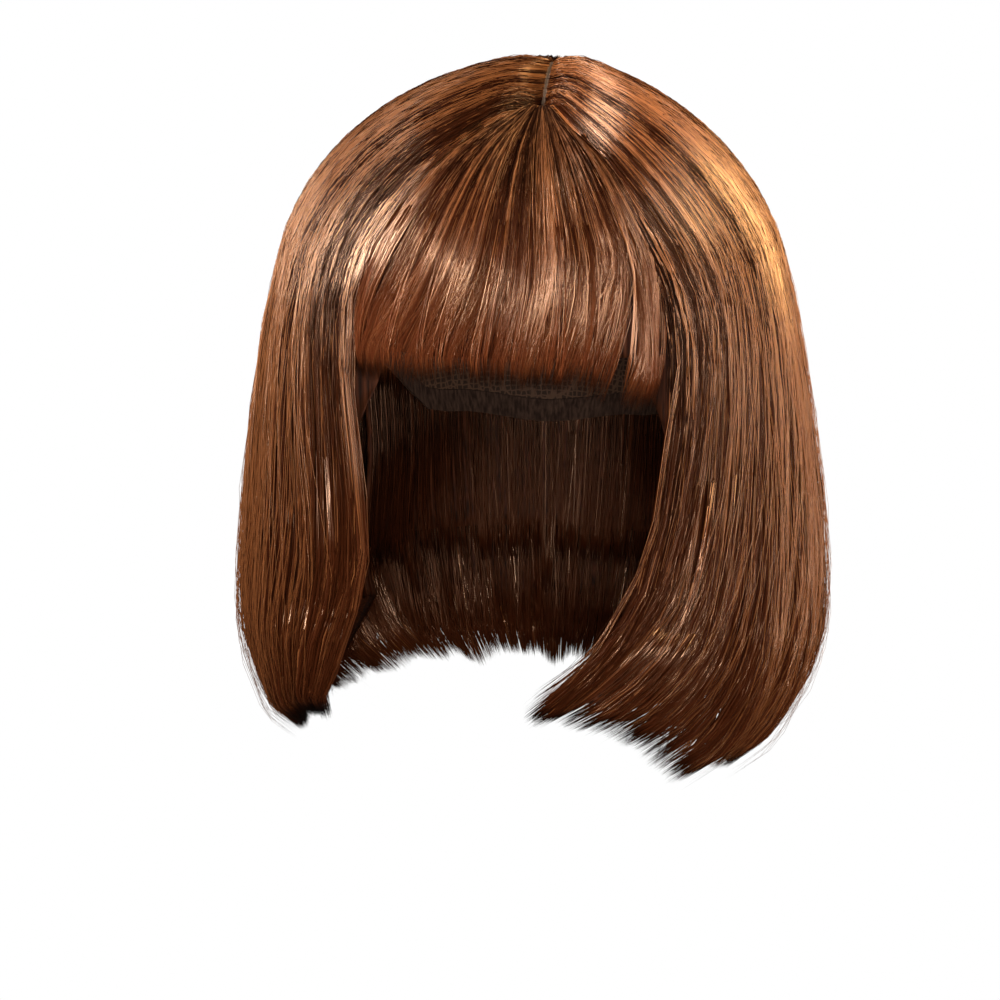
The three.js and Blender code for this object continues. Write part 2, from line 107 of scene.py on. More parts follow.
# Rows of the side and back hair. fall is the share of the way down, spread the share of the way out from the
# parting, wide, front and back are shares of the hair's reach, wall of CURTAIN_WALL and rib of LOCK_RELIEF.
COLUMNS = ("fall", "spread", "wide", "front", "back", "wall", "rib")
HAIR_ROWS = (
    (0.005, 0.1, 1, 1, 1, 1, 0.1),
    (0.028, 0.28, 0.92, 1, 1, 1, 0.2),
    (0.078, 0.53, 0.88, 1, 1, 1, 0.3),
    (0.155, 0.76, 0.88, 0.99, 1, 1, 0.35),
    (0.24, 0.93, 0.86, 0.99, 1, 1, 0.45),
    (0.31, 0.98, 0.87, 1, 1, 1.2, 0.5),
    (0.37, 1, 0.885, 0.985, 0.99, 1.2, 0.55),
    (0.5, 1, 0.935, 0.93, 0.98, 1.15, 0.65),
    (0.63, 1, 0.97, 0.87, 0.935, 1.05, 0.75),
    (0.745, 1, 0.99, 0.84, 0.88, 1, 0.85),
    (0.84, 1, 0.98, 0.83, 0.825, 0.95, 1),
    (0.91, 1, 0.93, 0.81, 0.77, 0.8, 1),
    (0.96, 1, 0.86, 0.77, 0.705, 0.55, 0.9),
    (1, 1, 0.75, 0.7, 0.62, 0.3, 0.6),
)
FRINGE_ROWS = (
    (0.01, 0.1, 1, 1, 1, 0.25, 0.1),
    (0.05, 0.28, 1, 1, 1, 0.25, 0.25),
    (0.15, 0.53, 1, 1, 1, 0.25, 0.35),
    (0.34, 0.76, 0.94, 1, 1, 0.25, 0.5),
    (0.54, 0.91, 0.91, 1, 1, 0.25, 0.6),
    (0.75, 0.98, 0.9, 1, 1, 0.4, 0.7),
    (0.89, 1, 0.9, 0.99, 1, 0.4, 0.8),
    (1, 1, 0.9, 0.965, 1, 0.25, 0.8),
)
# How far each side's front edge has turned back from the fringe's edge, in degrees, on the way down
EDGE_FALL = (0, 0.3, 0.63, 0.745, 0.84, 0.91, 0.96, 1)
EDGE_TURN = {1: (0, 0.8, 0.8, 0, -2.5, -5.5, -9, -14), -1: (0, 1, 1, 2.5, 6.5, 11.5, 17.5, 24.5)}

# How much lower each lock's tip hangs than its section's drop, from the front back on the sides
TIPS = {
    "fringe": (0.01, -0.03, 0, 0, 0.1),
    "side_hair_left": (-0.1, 0, 0.005, -0.015, -0.02, -0.04),
    "side_hair_right": (-0.06, -0.02, 0.015, 0, -0.01, -0.02),
    "back_hair": (-0.005, 0.01, 0, 0.012, -0.008, 0.01, -0.005),
}

# Camera of the photograph
CAMERA_AT = (121.8 * MM, -1540.7 * MM, 252 * MM)
CAMERA_TO = (-12.95 * MM, -1.13 * MM, -162.1 * MM)
CAMERA_LENS = 140.5

# Lights aimed at the middle of the wig: where each stands, its width and height, and its colour
WHITE = (1, 1, 1)
WIG_MIDDLE = (0, 0, -0.12)
LIGHTS = {
    "key": ((-1.3, -0.7, 0.38), (0.35, 0.6), WHITE),
    "front": ((0.1, -1.45, 0.1), (0.5, 0.3), WHITE),
    "side": ((1.3, -0.3, 0.6), (0.2, 0.5), (1, 0.9, 0.66)),
    "rim": ((1.3, 0.2, 0.45), (0.25, 1), (1, 0.8, 0.42)),
    "fill": ((0.9, -1.3, -0.35), (0.5, 0.4), WHITE),
    "back": ((0.3, 1.4, 0.1), (0.6, 0.6), (1, 0.95, 0.85)),
}
# Small light close over the parting, for the wearer's left side alone
CROWN_LIGHT_AT = (0.03, -0.09, 0.13)
CROWN_LIGHT_TO = (0.03, -0.03, 0)
CROWN_LIGHT_SIZE = (0.05, 0.05)

# Roots of the strands, measured from the middle of the parting
ROOT_GAP = 1.2 * MM
ROOT_GAP_SPREAD = 0.3 * MM
LOOSE_ROOTS = (0.2 * MM, 3.6 * MM)
FIRST_STRETCH = 4 * MM
ARCH_POWER = 1.7  # of the crown's fall against the way out
SECOND_POINT = 0.3  # share of the way from a root to the first row
ROOT_SINK = 2 * MM
SECOND_SINK = 1 * MM

# Single strands
GATHER_FROM = 0.09  # share of the way down
FINE_RIPPLE = 0.35 * MM
LOOSENESS = 0.5 * MM
STRAY_RADIUS = 0.1 * MM
TONES = 192  # strips of the strands' own map, one for each shade of hair
TONE_VARIATION = 0.35  # of a strand's tone, along it
FINE_STEPS = 110  # points along a strand while it is shaped
LINING_POINTS = 9
SHARPEST_TURN = 0.12
TURN_WEIGHT = 1.5
CORNER_WANDER = 0.45

# Under-hair of each section: how much thinner than the section it is, and the height at which it ends
UNDER_HAIR = {
    "fringe": (2 * MM, -0.08),
    "side_hair_left": (3 * MM, -0.222),
    "side_hair_right": (3 * MM, -0.222),
    "back_hair": (3 * MM, -0.226),
    "nape_hair": (1 * MM, -0.195),
}
UNDER_HAIR_NARROWER = 0.985
UNDER_HAIR_CROWN_SINK = 2.5 * MM

# Colours that no setting changes
# The under-hair is the hair's colour darkened: painted shade that shows in the gaps between the strands
UNDER_HAIR_SHADED_DARK = (0.012, 0.004, 0.0018)
UNDER_HAIR_SHADED_LIGHT = (0.07, 0.02, 0.008)
ELASTIC_DARK = (0.018, 0.009, 0.006)
ELASTIC_LIGHT = (0.055, 0.03, 0.02)
DULL_SHINE = (0.07, 0.035, 0.02)
BRIGHT_SHINE = (1, 0.62, 0.4)


# Numbers


def wavering(rng, place, count, low, high):
    """A value that runs smoothly across a section, between random values at a number of places."""
    return np.interp(place, np.linspace(-0.05, 1.05, count), rng.uniform(low, high, count))


def smoothstep(value, low, high):
    t = np.clip((value - low) / (high - low), 0, 1)
    return t * t * (3 - 2 * t)


def lerp(a, b, t):
    return a + (b - a) * t


def table(rows):
    return dict(zip(COLUMNS, np.array(rows, float).T))


# Flow of the hair

Section = namedtuple("Section", "node hand rows tips drop notch inset azimuth root")


def parting_height(y):
    sag = np.where(y < 0, PARTING_FRONT_SAG, PARTING_BACK_SAG)
    length = np.where(y < 0, PARTING_FRONT, PARTING_BACK)
    return CROWN_RISE - sag * (y / length) ** 2


def ellipse_point(azimuth, wide, front, back):
    a = np.radians(azimuth)
    return np.stack([wide * np.sin(a), -np.where(np.cos(a) > 0, front, back) * np.cos(a)], -1)


def ellipse_distance(root, direction, wide, front, back):
    """How far an ellipse in plan lies from a place inside it along a direction."""

    def hit(depth):
        px, py = root[..., 0] / wide, root[..., 1] / depth
        dx, dy = direction[..., 0] / wide, direction[..., 1] / depth
        square = dx * dx + dy * dy
        along = (px * dx + py * dy) / square
        return np.sqrt(np.maximum(along**2 + (1 - px * px - py * py) / square, 0)) - along

    to_front = hit(front)
    return np.where(root[..., 1] + to_front * direction[..., 1] < 0, to_front, hit(back))


def outward_from(root, azimuth):
    way = ellipse_point(azimuth, HALF_WIDTH, FRONT_REACH, BACK_REACH) - root
    return way / np.linalg.norm(way, axis=-1, keepdims=True)


def fan_length():
    root = np.array([PARTING_X, -PARTING_FRONT])
    way = outward_from(root, np.array(FRINGE_ANGLE))
    return float(ellipse_distance(root, way, HALF_WIDTH, FRONT_REACH, BACK_REACH))


FAN_LENGTH = fan_length()


def swept(azimuth, hand, follow, distance):
    left = np.maximum(0, 1 - (distance / FAN_LENGTH) ** 2)
    return azimuth - hand * follow * FRINGE_ANGLE * SEAM_SWEEP * left


def section_drop(node):
    """From the origin down to the section's hem, without its longest tip."""
    return -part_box(node)[0].z / (1 + max(TIPS[node]))


def section_bottom(node):
    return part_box(node)[0].z


def fringe_section():
    def azimuth(share, fall, distance):
        across = 2 * share - 1
        return swept(across * FRINGE_ANGLE, np.sign(across), np.abs(across), distance)

    node = "fringe"
    return Section(node, 0, table(FRINGE_ROWS), TIPS[node], section_drop(node), -1 * MM, FRINGE_INSET,
                   azimuth, lambda share: -np.ones_like(share))


def side_section(node, hand):
    """A side, with shares that run from its front edge to the back."""

    def azimuth(share, fall, distance):
        edge = FRINGE_ANGLE + np.interp(fall, EDGE_FALL, EDGE_TURN[hand])
        return swept(hand * lerp(edge, BACK_FROM, share), hand, np.clip(1 - share, 0, 1.1) ** 2, distance)

    return Section(node, hand, table(HAIR_ROWS), TIPS[node], section_drop(node), 4 * MM, 0,
                   azimuth, lambda share: np.clip(2 * share - 1, -1, 1))


def back_section():
    node = "back_hair"
    return Section(node, 0, table(HAIR_ROWS), TIPS[node], section_drop(node), 4 * MM, 0,
                   lambda share, fall, distance: lerp(BACK_FROM, 360 - BACK_FROM, share),
                   lambda share: np.ones_like(share))


def rib_height(section, share):
    """Height of the locks' relief at a share, from 0 in a furrow to 1 on a ridge."""
    count = len(section.tips) * LOCK_COLUMNS
    column = np.clip(share if section.hand >= 0 else 1 - share, 0, 1) * count
    return np.interp(column % LOCK_COLUMNS, range(LOCK_COLUMNS + 1), LOCK_SHAPE)


def lock_tip(section, share):
    """How much lower the hair hangs at a share, running smoothly from lock to lock."""
    middles = (np.arange(len(section.tips)) + 0.5) / len(section.tips)
    return np.interp(share, middles, section.tips)


def raised(distance, height, amount):
    """Moves a point of a strand away from the middle of the head."""
    middle = np.minimum(height, -HEAD_MIDDLE)
    away = np.stack([distance, height - middle], -1)
    away /= np.linalg.norm(away, axis=-1, keepdims=True)
    return distance + away[..., 0] * amount, height + away[..., 1] * amount


def strand_paths(section, share, depth, rise, start):
    """Points of strands, shape (strands, rows + 2, 3).

    share and depth have a value for each strand and each row, with two rows more for the root at the parting.
    depth is counted inwards from the hair's outside, rise is how far each tip ends above its lock's own, and
    start is how far from the middle of the parting each root lies."""
    rows = {name: column[None, :] for name, column in section.rows.items()}
    at_root = share[:, 0]
    place = section.root(at_root)
    root_y = np.where(place < 0, place * PARTING_FRONT, place * PARTING_BACK)
    root = np.stack([np.full_like(root_y, PARTING_X), root_y], -1)[:, None, :]
    crown = parting_height(root_y)[:, None]

    body = share[:, 2:]
    azimuth = section.azimuth(body, rows["fall"], np.inf)
    way = outward_from(root, azimuth)
    rib = rib_height(section, body)
    # A root that lies nearer the parting has its first row nearer too, and so further up the crown's arch
    nearer = np.clip(start / ROOT_GAP, 0.4, 1.3)
    fall = np.repeat(rows["fall"], len(share), 0)
    fall[:, 0] *= nearer**ARCH_POWER
    tip = lock_tip(section, share[:, -1])[:, None]
    lift = section.notch * (1 - rib) - tip * section.drop + rise[:, None]
    height = (CROWN_RISE - fall * (CROWN_RISE + section.drop)
              - (1 - rows["spread"]) * (CROWN_RISE - crown) + lift * smoothstep(rows["fall"], HEM_FROM, 1))
    right = np.where(azimuth < 0, 1 - smoothstep(np.abs(azimuth), RIGHT_EASES_FROM, BACK_FROM), 0)
    if section.node == "fringe":
        right = 0 * right
    flare = RIGHT_FLARE * right * smoothstep(rows["fall"], FLARE_FROM, 1)
    power = lerp(1, RIGHT_FULLNESS, right)
    spread = np.repeat(rows["spread"], len(share), 0)
    spread[:, 0] *= nearer
    wide = HALF_WIDTH * rows["wide"] + flare
    front = FRONT_REACH * rows["front"] + flare
    back = BACK_REACH * rows["back"] + flare
    reach = ellipse_distance(root, way, wide, front, back)
    distance = spread**power * reach
    inset = section.inset * smoothstep(rows["spread"], 0, 0.9)
    relief = LOCK_RELIEF * rows["rib"] * rib - inset - depth[:, 2:]
    if section.node == "fringe":
        relief = relief - SEAM_SINK * smoothstep(np.abs(body - 0.5), 0.42, 0.5)
    distance, height = raised(distance, height, relief)

    first = start[:, None]
    distance[:, 0] = np.maximum(distance[:, 0], start + FIRST_STRETCH)
    from_parting = np.concatenate([first, lerp(first, distance[:, :1], SECOND_POINT), distance], 1)
    falls = np.concatenate([np.zeros_like(first), np.zeros_like(first), fall], 1)
    turned = outward_from(root, section.azimuth(share, falls, from_parting))
    plan = root + turned * from_parting[..., None]
    strip = parting_height(plan[:, :2, 1])
    second = strip[:, 1:2] - SECOND_SINK - depth[:, 1:2]
    heights = np.concatenate([strip[:, :1] - ROOT_SINK, second, height], 1)
    return np.concatenate([plan, heights[..., None]], -1)


def smooth_line(points):
    """Curves through the points of each strand, cut into FINE_STEPS points with room for every bend."""
    step = np.maximum(np.linalg.norm(np.diff(points, axis=1), axis=-1, keepdims=True), 1e-6)
    slope = np.diff(points, axis=1) / step
    inner = (slope[:, 1:] * step[:, :-1] + slope[:, :-1] * step[:, 1:]) / (step[:, 1:] + step[:, :-1])
    tangent = np.concatenate([slope[:, :1], inner, slope[:, -1:]], 1)
    place = np.linspace(0, points.shape[1] - 1, FINE_STEPS)
    low = np.minimum(place.astype(int), points.shape[1] - 2)
    t = (place - low)[None, :, None]
    a, b = points[:, low], points[:, low + 1]
    ta, tb = tangent[:, low] * step[:, low], tangent[:, low + 1] * step[:, low]
    return (a * (2 * t**3 - 3 * t**2 + 1) + ta * (t**3 - 2 * t**2 + t)
            + b * (3 * t**2 - 2 * t**3) + tb * (t**3 - t**2))


def evened(points, count, rng, begin=0.0):
    """Strands of count points each, and how far along each point is. Bends get more points than straight
    stretches, and the places of the corners wander from strand to strand. begin is the share of the way down
    at which a strand starts."""
    fine = smooth_line(points)
    step = np.diff(fine, axis=1)
    size = np.linalg.norm(step, axis=-1)
    way = step / (size[..., None] + 1e-12)
    turn = np.arccos(np.clip((way[:, 1:] * way[:, :-1]).sum(-1), -1, 1))
    turn = np.minimum(np.pad(turn, ((0, 0), (0, 1)), mode="edge"), SHARPEST_TURN)
    weight = size / size.sum(1, keepdims=True) + TURN_WEIGHT * turn / (turn.sum(1, keepdims=True) + 1e-9)
    passed = np.concatenate([np.zeros((len(fine), 1)), np.cumsum(weight, 1)], 1)
    passed /= passed[:, -1:]
    length = np.concatenate([np.zeros((len(fine), 1)), np.cumsum(size, 1)], 1)
    length /= length[:, -1:]
    first = np.array([np.interp(begin, row, value) for row, value in zip(length, passed)])
    places = np.linspace(0, 1, len(fine))
    shift = wavering(rng, places, 2 + len(fine) // 6, -CORNER_WANDER, CORNER_WANDER)[:, None]
    shifts = np.pad(np.broadcast_to(shift, (len(fine), count - 2)), ((0, 0), (1, 1)))
    chosen = np.arange(count)[None, :] + shifts
    chosen = first[:, None] + (1 - first[:, None]) * chosen / (count - 1)
    place = np.array([np.interp(row, value, np.arange(FINE_STEPS)) for row, value in zip(chosen, passed)])
    low = np.minimum(place.astype(int), FINE_STEPS - 2)
    part = place - low
    rows = np.arange(len(fine))[:, None]
    spots = fine[rows, low] * (1 - part[..., None]) + fine[rows, low + 1] * part[..., None]
    return spots, length[rows, low] * (1 - part) + length[rows, low + 1] * part


# Strands


def wisp_strands(section, count, wisps, rng, shares=(0.0, 1.0), pull=(0.25, 0.8), layers=2.4 * MM,
                 into_wall=None, ripple=0.8 * MM, ragged=3 * MM, drift=0.0, lean=0.0, cross=0.0, out=0.0):
    """Strands that gather into wisps on the way down. Returns their points and the share at which each
    starts.

    shares is the part of the section that they cover, pull how far the strands of a wisp come together,
    layers how deep the wisps lie under each other, into_wall the part of the wall's thickness that they fill
    instead, ripple how far they swell in and out, ragged how uneven the tips are, drift how far a wisp
    wanders sideways as a share of the section, lean how far the tips turn to one side, cross how far single
    strands cross the others, and out how far they stand proud."""
    fall = np.concatenate([[0, 0], section.rows["fall"]])[None, :]
    low, high = shares
    width = (high - low) / wisps
    centre = low + width * (np.arange(wisps) + rng.uniform(0.1, 0.9, wisps))
    own = low + (high - low) * (np.arange(count) + rng.uniform(0, 1, count)) / count
    wisp = np.argmin(np.abs(own[:, None] + rng.normal(0, 0.35 * width, count)[:, None] - centre[None, :]), 1)
    tight = rng.uniform(*pull, wisps)[wisp][:, None] * smoothstep(fall, GATHER_FROM, 1)
    goal = centre[wisp] + rng.normal(0, 0.12 * width, count)
    share = lerp(own[:, None], goal[:, None], tight)
    swing = rng.normal(0, drift, wisps)[wisp]
    swing = swing + rng.normal(0, 0.35 * width, count)
    swing = swing + rng.normal(0, cross, count)
    share = share + swing[:, None] * smoothstep(fall, 0.15, 1)
    spill = 0.12 + 0.4 * smoothstep(own, 0.55, 0.9) * (section.node == "fringe")
    tilt = wavering(rng, own, 9, 0.6, 1.4) + spill * rng.normal(0, 1, wisps)[wisp]
    share = share + lean * tilt[:, None] * smoothstep(fall, 0.5, 1.05)
    wave = rng.uniform(0, math.tau, wisps)[wisp][:, None] + fall * rng.uniform(3, 8, wisps)[wisp][:, None]
    share = share + np.sin(wave) * 0.3 * width * smoothstep(fall, 0.2, 0.8)
    if into_wall:
        level = rng.uniform(*into_wall, wisps)[wisp] + rng.normal(0, 0.06, count)
        wall = np.pad(section.rows["wall"], (2, 0), mode="edge")[None, :]
        if section.hand:
            wall = wall * lerp(EDGE_WALL, 1, smoothstep(share, 0, EDGE_WIDTH))
        depth = np.clip(level, 0.02, 0.95)[:, None] * wall * CURTAIN_WALL * smoothstep(fall, 0, 0.3)
    else:
        level = rng.uniform(0, 1, wisps)[wisp] ** 1.3 * layers
        depth = level[:, None] * lerp(0.25, 1, smoothstep(fall, 0, 0.7))
    swell = rng.uniform(0, math.tau, wisps)[wisp][:, None] + fall * rng.uniform(9, 22, wisps)[wisp][:, None]
    depth = depth + ripple * (1 + np.sin(swell)) * smoothstep(fall, 0.25, 0.6)
    hairs = rng.uniform(0, math.tau, count)[:, None] + fall * rng.uniform(18, 45, count)[:, None]
    depth = depth + FINE_RIPPLE * (1 + np.sin(hairs)) * smoothstep(fall, 0.2, 0.55)
    depth = depth + np.abs(rng.normal(0, LOOSENESS, count))[:, None] - out * smoothstep(fall, 0.1, 0.9)
    rise = rng.normal(0, 0.25 * ragged, wisps)[wisp] + ragged * (rng.exponential(1, count) - 1)
    start = np.abs(rng.normal(ROOT_GAP, ROOT_GAP_SPREAD, count))
    if section.hand == 0:
        start = rng.uniform(*LOOSE_ROOTS, count)
    return strand_paths(section, share, depth, rise, start), own


def lining_strands(node, azimuths, top, low, count, rng, lift=1.5 * MM, wander=2.5):
    """Strands that hang down the inner side of a wall of hair, found by looking outwards from the middle."""
    frame_node = frame["nodes"][node]
    tree = BVHTree.FromPolygons([v.co for v in frame_node.data.vertices],
                                [p.vertices for p in frame_node.data.polygons])
    strands = []
    for azimuth in rng.uniform(*azimuths, count):
        side = rng.normal(0, wander)
        inward = rng.uniform(0.2, 1) * lift
        points = []
        for share in np.linspace(0, 1, LINING_POINTS):
            a = math.radians(azimuth + side * share)
            way = Vector((math.sin(a), -math.cos(a), 0))
            axis = Vector((0, 0, lerp(top, low, share)))
            hit, _, _, distance = tree.ray_cast(axis, way)
            if hit:
                points.append(way * (distance - inward) + axis)
        if len(points) >= 4:
            line = np.array(points)
            place = np.linspace(0, len(line) - 1, LINING_POINTS)
            own = np.arange(len(line))
            strands.append(np.stack([np.interp(place, own, line[:, k]) for k in range(3)], -1))
    return np.array(strands)


def tube_mesh(name, groups):
    """Closed mesh of three-sided strands with pointed tips, from groups of (points, along, radius, tone). It
    carries each strand's tone, the way along it, and a map with a strip for each tone."""
    verts, corners, sizes, tones, ways, across = [], [], [], [], [], []
    used = 0
    for points, along, radius, tone in groups:
        strands, steps, _ = points.shape
        tangent = np.gradient(points, axis=1)
        tangent /= np.linalg.norm(tangent, axis=-1, keepdims=True) + 1e-12
        outward = points - np.array([0, 0, -HEAD_MIDDLE])
        outward[..., 2] = np.maximum(outward[..., 2], 0)
        normal = outward - (outward * tangent).sum(-1, keepdims=True) * tangent
        normal /= np.linalg.norm(normal, axis=-1, keepdims=True) + 1e-12
        side = np.cross(tangent, normal)
        size = radius[:, None] * np.interp(np.linspace(0, 1, steps), (0, 0.06, 0.7, 1), (0.75, 1, 0.9, 0.35))
        turns = np.radians((90, 210, 330))
        ring = [points + size[..., None] * (math.sin(t) * normal + math.cos(t) * side) for t in turns]
        tube = np.stack(ring, 2)[:, :-1].reshape(strands, -1, 3)
        verts.append(np.concatenate([tube, points[:, -1:]], 1).reshape(-1, 3))
        per = 3 * (steps - 1) + 1
        base = used + np.arange(strands) * per
        used += strands * per
        row = (np.arange(steps - 2) * 3)[None, :, None]
        k = np.arange(3)[None, None, :]
        after = (k + 1) % 3
        first = base[:, None, None] + row
        quads = np.stack([first + k, first + 3 + k, first + 3 + after, first + after], -1).reshape(-1, 4)
        last = base[:, None] + 3 * (steps - 2)
        tip = base + per - 1
        tips = np.stack([np.stack([last[:, 0] + i, tip, last[:, 0] + (i + 1) % 3], -1) for i in range(3)])
        lids = base[:, None] + [0, 1, 2]
        corners += [quads.ravel(), tips.ravel(), lids.ravel()]
        sizes += [np.full(len(quads), 4), np.full(3 * strands, 3), np.full(strands, 3)]
        strip = (np.clip((tone * TONES).astype(int), 0, TONES - 1) + 0.5) / TONES
        tones.append(np.repeat(strip, per))
        ways.append(np.concatenate([np.repeat(along[:, :-1], 3, 1), along[:, -1:]], 1).ravel())
        across.append(np.tile(np.append(np.tile([-0.3, 0, 0.3], steps - 1), 0), strands))
    verts, corners, sizes = np.concatenate(verts), np.concatenate(corners), np.concatenate(sizes)
    tones, ways, across = np.concatenate(tones), np.concatenate(ways), np.concatenate(across)

    mesh = bpy.data.meshes.new(name)
    mesh.vertices.add(len(verts))
    mesh.vertices.foreach_set("co", verts.astype(np.float32).ravel())
    mesh.loops.add(len(corners))
    mesh.loops.foreach_set("vertex_index", corners.astype(np.int32))
    mesh.polygons.add(len(sizes))
    mesh.polygons.foreach_set("loop_start", (np.cumsum(sizes) - sizes).astype(np.int32))
    mesh.polygons.foreach_set("use_smooth", np.ones(len(sizes), bool))
    mesh.update(calc_edges=True)
    mesh.attributes.new("tone", "FLOAT", "POINT").data.foreach_set("value", tones.astype(np.float32))
    mesh.attributes.new("along", "FLOAT", "POINT").data.foreach_set("value", ways.astype(np.float32))
    uv = np.stack([tones + across / TONES, 0.01 + 0.98 * ways], -1)
    mesh.uv_layers.new(name="OFBake").uv.foreach_set("vector", uv[corners].astype(np.float32).ravel())
    if mesh.validate():
        raise RuntimeError(name + " has bad faces")
    return mesh


def strand_tones(rng, place, middle=0.48, light=0.1, dark=0.15, streaks=0.17):
    """Shade of each strand from its place across the section: broad and fine streaks, with a few light and
    dark strands mixed in."""
    tone = rng.normal(middle, streaks, len(place))
    for count, share in ((8, 0.5), (40, 1.1), (170, 1)):
        tone = tone + share * wavering(rng, place, count, -1.7 * streaks, 1.7 * streaks)
    pick = rng.uniform(0, 1, len(place))
    tone = np.where(pick < light, rng.uniform(0.75, 1, len(place)), tone)
    tone = np.where(pick > 1 - dark, rng.uniform(0, 0.25, len(place)), tone)
    return np.clip(tone, 0, 0.999)


def strand_widths(rng, count, width):
    return width / 2 * rng.uniform(0.7, 1.2, count)


def strand_group(rng, points, place, steps, width, begin=0.0, **shades):
    """Points, ways along, radii and tones of strands, for strand_piece."""
    return (*evened(points, steps, rng, begin=begin), strand_widths(rng, len(place), width),
            strand_tones(rng, place, **shades))


def stray_group(rng, points, steps, palest):
    """Fine pale strands that lie across the others."""
    spots, along = evened(points, steps, rng)
    return spots, along, np.full(len(points), STRAY_RADIUS), rng.uniform(palest, 1, len(points))


def shaded_lining_group(rng, points, steps, width, middle, streaks):
    """Strands that line the inner side of a wall of hair, in dark tones that are painted shade of the wig's
    inside.
    """
    spots, along = evened(points, steps, rng)
    radii = strand_widths(rng, len(points), width)
    tones = strand_tones(rng, rng.uniform(0, 1, len(points)), middle=middle, light=0, streaks=streaks)
    return spots, along, radii, tones


def wall_groups(section, rng, count, width, middle, azimuths, top, lining, lean=0.0):
    """Strands inside a wall of hair: through its thickness, along its hem and down its inner side."""
    points, place = wisp_strands(section, count, 120, rng, into_wall=(0.12, 0.95), lean=lean, ripple=0,
                                 pull=(0, 0.4), ragged=1.5 * MM)
    body = strand_group(rng, points, place, 7, width, begin=0.6, middle=middle, light=0.02, streaks=0.1)
    points, place = wisp_strands(section, 900, 150, rng, into_wall=(0.15, 0.7), lean=lean, ripple=0,
                                 pull=(0, 0.3), ragged=1.2 * MM)
    hem = strand_group(rng, points, place, 5, 0.8 * MM, begin=0.8, middle=0.3)
    points = lining_strands(section.node, azimuths, top, section_bottom(section.node) + 8 * MM, lining, rng)
    # The lining's low middle tone is painted shade of the wig's inside
    return [body, hem, shaded_lining_group(rng, points, 7, 0.7 * MM, middle=0.05, streaks=0.07)]


def strand_piece(name, node, groups, material):
    """One object of all strands of a section. Each group is (points, along, radius, tone)."""
    piece = bpy.data.objects.new(name, tube_mesh(name, groups))
    bpy.context.scene.collection.objects.link(piece)
    finish_piece(piece, node, material)


def finish_piece(piece, node, material):
    piece.data.materials.clear()
    piece.data.materials.append(material)
    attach(piece, "root")
    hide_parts(node)


# Materials


def new_material(name):
    material = bpy.data.materials.new(name)
    material.use_nodes = True
    tree = material.node_tree
    return material, tree, tree.nodes["Principled BSDF"]


def mapped(tree, value, low, high, to_low=0, to_high=1):
    scale = tree.nodes.new("ShaderNodeMapRange")
    scale.inputs["From Min"].default_value = low
    scale.inputs["From Max"].default_value = high
    scale.inputs["To Min"].default_value = to_low
    scale.inputs["To Max"].default_value = to_high
    tree.links.new(value, scale.inputs["Value"])
    return scale.outputs["Result"]


def mixed(tree, factor, first, second):
    """Colour between two, each of them given as a socket or as a plain colour."""
    mix = tree.nodes.new("ShaderNodeMix")
    mix.data_type = "RGBA"
    tree.links.new(factor, mix.inputs["Factor"])
    for name, colour in (("A", first), ("B", second)):
        if isinstance(colour, tuple):
            mix.inputs[name].default_value = (*colour, 1)
        else:
            tree.links.new(colour, mix.inputs[name])
    return mix.outputs["Result"]


def scaled(tree, value, factor):
    product = tree.nodes.new("ShaderNodeMath")
    product.operation = "MULTIPLY"
    product.inputs[1].default_value = factor
    tree.links.new(value, product.inputs[0])
    return product.outputs[0]


def strand_tone(tree):
    """Tone of a strand, made to vary a little on the way along it, and that way from 0 to 1."""
    nodes, links = tree.nodes, tree.links
    tone = nodes.new("ShaderNodeAttribute")
    tone.attribute_name = "tone"
    along = nodes.new("ShaderNodeAttribute")
    along.attribute_name = "along"
    place = nodes.new("ShaderNodeCombineXYZ")
    links.new(scaled(tree, tone.outputs["Fac"], 900), place.inputs["X"])
    links.new(scaled(tree, along.outputs["Fac"], 3), place.inputs["Y"])
    noise = nodes.new("ShaderNodeTexNoise")
    noise.inputs["Scale"].default_value = 1
    noise.inputs["Detail"].default_value = 2
    links.new(place.outputs[0], noise.inputs["Vector"])
    less = nodes.new("ShaderNodeMath")
    less.operation = "SUBTRACT"
    less.inputs[1].default_value = TONE_VARIATION / 2
    links.new(tone.outputs["Fac"], less.inputs[0])
    varied = nodes.new("ShaderNodeMath")
    varied.operation = "MULTIPLY_ADD"
    varied.inputs[1].default_value = TONE_VARIATION
    links.new(noise.outputs["Fac"], varied.inputs[0])
    links.new(less.outputs[0], varied.inputs[2])
    return varied.outputs[0], along.outputs["Fac"]


def hair_shade_group():
    """Node group: the colour of a strand from its tone and the way along it."""
    group = bpy.data.node_groups.get("hair_shade")
    if group:
        return group
    group = bpy.data.node_groups.new("hair_shade", "ShaderNodeTree")
    for name in ("Dark", "Middle", "Light", "Tip"):
        group.interface.new_socket(name, in_out="INPUT", socket_type="NodeSocketColor")
    group.interface.new_socket("Color", in_out="OUTPUT", socket_type="NodeSocketColor")
    entry = group.nodes.new("NodeGroupInput").outputs
    leave = group.nodes.new("NodeGroupOutput").inputs
    tone, along = strand_tone(group)
    colour = mixed(group, mapped(group, tone, 0.05, 0.5), entry["Dark"], entry["Middle"])
    colour = mixed(group, mapped(group, tone, 0.55, 1), colour, entry["Light"])
    # Towards the tips the colour turns to Tip: on the fringe that is copper, a painted glow of light through
    # the hair; on the sides it is the middle colour
    colour = mixed(group, mapped(group, along, 0.35, 1, 0, 0.65), colour, entry["Tip"])
    group.links.new(colour, leave["Color"])
    return group


